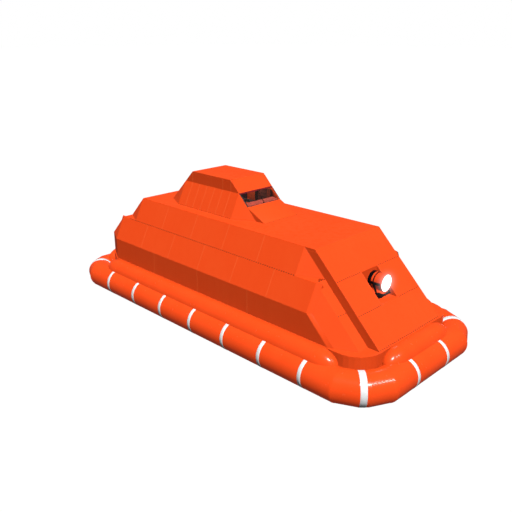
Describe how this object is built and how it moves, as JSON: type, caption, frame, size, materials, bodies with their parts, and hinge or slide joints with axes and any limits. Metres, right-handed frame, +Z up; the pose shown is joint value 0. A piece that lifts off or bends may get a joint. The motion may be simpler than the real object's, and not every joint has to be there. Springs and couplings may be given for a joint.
{
  "type": "enclosed lifeboat with a faceted canopy on a ring of buoyancy tubes",
  "caption": "Orange enclosed lifeboat: faceted canopy, small wheelhouse, bow searchlight in a niche, stern hatch, and banded buoyancy tubes around a flat-bottomed hull.",
  "frame": {"origin": "Middle of the bounding box at its lowest level, which is the flat bottom of the hull.", "axes": "+X forward to the bow, +Y to port, +Z up."},
  "size_m": [8.885, 4.02, 3.29],
  "materials": {
    "orange_grp": "smooth orange glass-reinforced plastic",
    "orange_tube": "glossy orange coated fabric with white bands",
    "black_paint": "black paint",
    "window_glass": "tinted safety glass",
    "lamp_lens": "lit white lens",
    "stainless_steel": "brushed",
    "bronze": "cast bronze",
    "grey_paint": "grey paint",
    "seat_cover": "black seat cover"
  },
  "bodies": {
    "boat": {"bow_corner_port": "orange_grp", "bow_corner_stbd": "orange_grp", "bow_ramp": "orange_grp", "collar_bow": "orange_tube", "collar_bow_port": "orange_tube", "collar_bow_stbd": "orange_tube", "collar_port": "orange_tube", "collar_stbd": "orange_tube", "collar_stern": "orange_tube", "collar_stern_port": "orange_tube", "collar_stern_stbd": "orange_tube", "deck": "orange_grp", "engine_block": "grey_paint", "helm_console": "grey_paint", "helm_seat": "seat_cover", "hull": "orange_grp", "light_foot": "black_paint", "light_niche": "orange_grp", "roof_aft": "orange_grp", "roof_main": "orange_grp", "seat_pillar": "stainless_steel", "side_band_port": "orange_grp", "side_band_stbd": "orange_grp", "side_lower_port": "orange_grp", "side_lower_stbd": "orange_grp", "side_upper_port": "orange_grp", "side_upper_stbd": "orange_grp", "stern_board": "orange_grp", "stern_corner_port": "orange_grp", "stern_corner_stbd": "orange_grp", "stern_slope": "orange_grp", "upper_tube_bow": "orange_tube", "upper_tube_port": "orange_tube", "upper_tube_stbd": "orange_tube", "upper_tube_stern": "orange_tube", "wheelhouse_apron": "orange_grp", "wheelhouse_back": "orange_grp", "wheelhouse_brow": "orange_grp", "wheelhouse_roof": "orange_grp", "wheelhouse_side_port": "orange_grp", "wheelhouse_side_stbd": "orange_grp", "window": "window_glass"},
    "hatch": {"stern_hatch": "orange_grp"},
    "light_pan": {"light_yoke": "black_paint"},
    "light_head": {"light_drum": "orange_grp", "light_lens": "lamp_lens"},
    "screw": {"propeller": "bronze"},
    "steering_blade": {"rudder": "orange_grp"},
    "helm": {"helm_wheel": "black_paint"}
  },
  "joints": [
    {"name": "hatch_open", "type": "hinge", "parent": "boat", "child": "hatch", "pos_m": [-3.00877, 0, 2.40919], "axis": [0, 1, 0], "range_deg": [0, 100]},
    {"name": "light_turn", "type": "hinge", "parent": "boat", "child": "light_pan", "pos_m": [3.1375, 0, 1.86], "axis": [0, 0, 1], "range_deg": [-60, 60]},
    {"name": "light_tilt", "type": "hinge", "parent": "light_pan", "child": "light_head", "pos_m": [3.1375, 0, 1.86], "axis": [0, -1, 0], "range_deg": [-25, 40]},
    {"name": "screw_turn", "type": "hinge", "parent": "boat", "child": "screw", "pos_m": [-3.2125, 0, 0.295], "axis": [1, 0, 0], "continuous": true},
    {"name": "rudder_turn", "type": "hinge", "parent": "boat", "child": "steering_blade", "pos_m": [-3.4725, 0, 0.29], "axis": [0, 0, 1], "range_deg": [-35, 35]},
    {"name": "wheel_turn", "type": "hinge", "parent": "boat", "child": "helm", "pos_m": [-0.2575, -0.16, 2.67], "axis": [1, 0, 0], "range_deg": [-540, 540]}
  ],
  "couplings": [
    {"joint": "rudder_turn", "follows": "wheel_turn", "ratio": 0.064815}
  ]
}
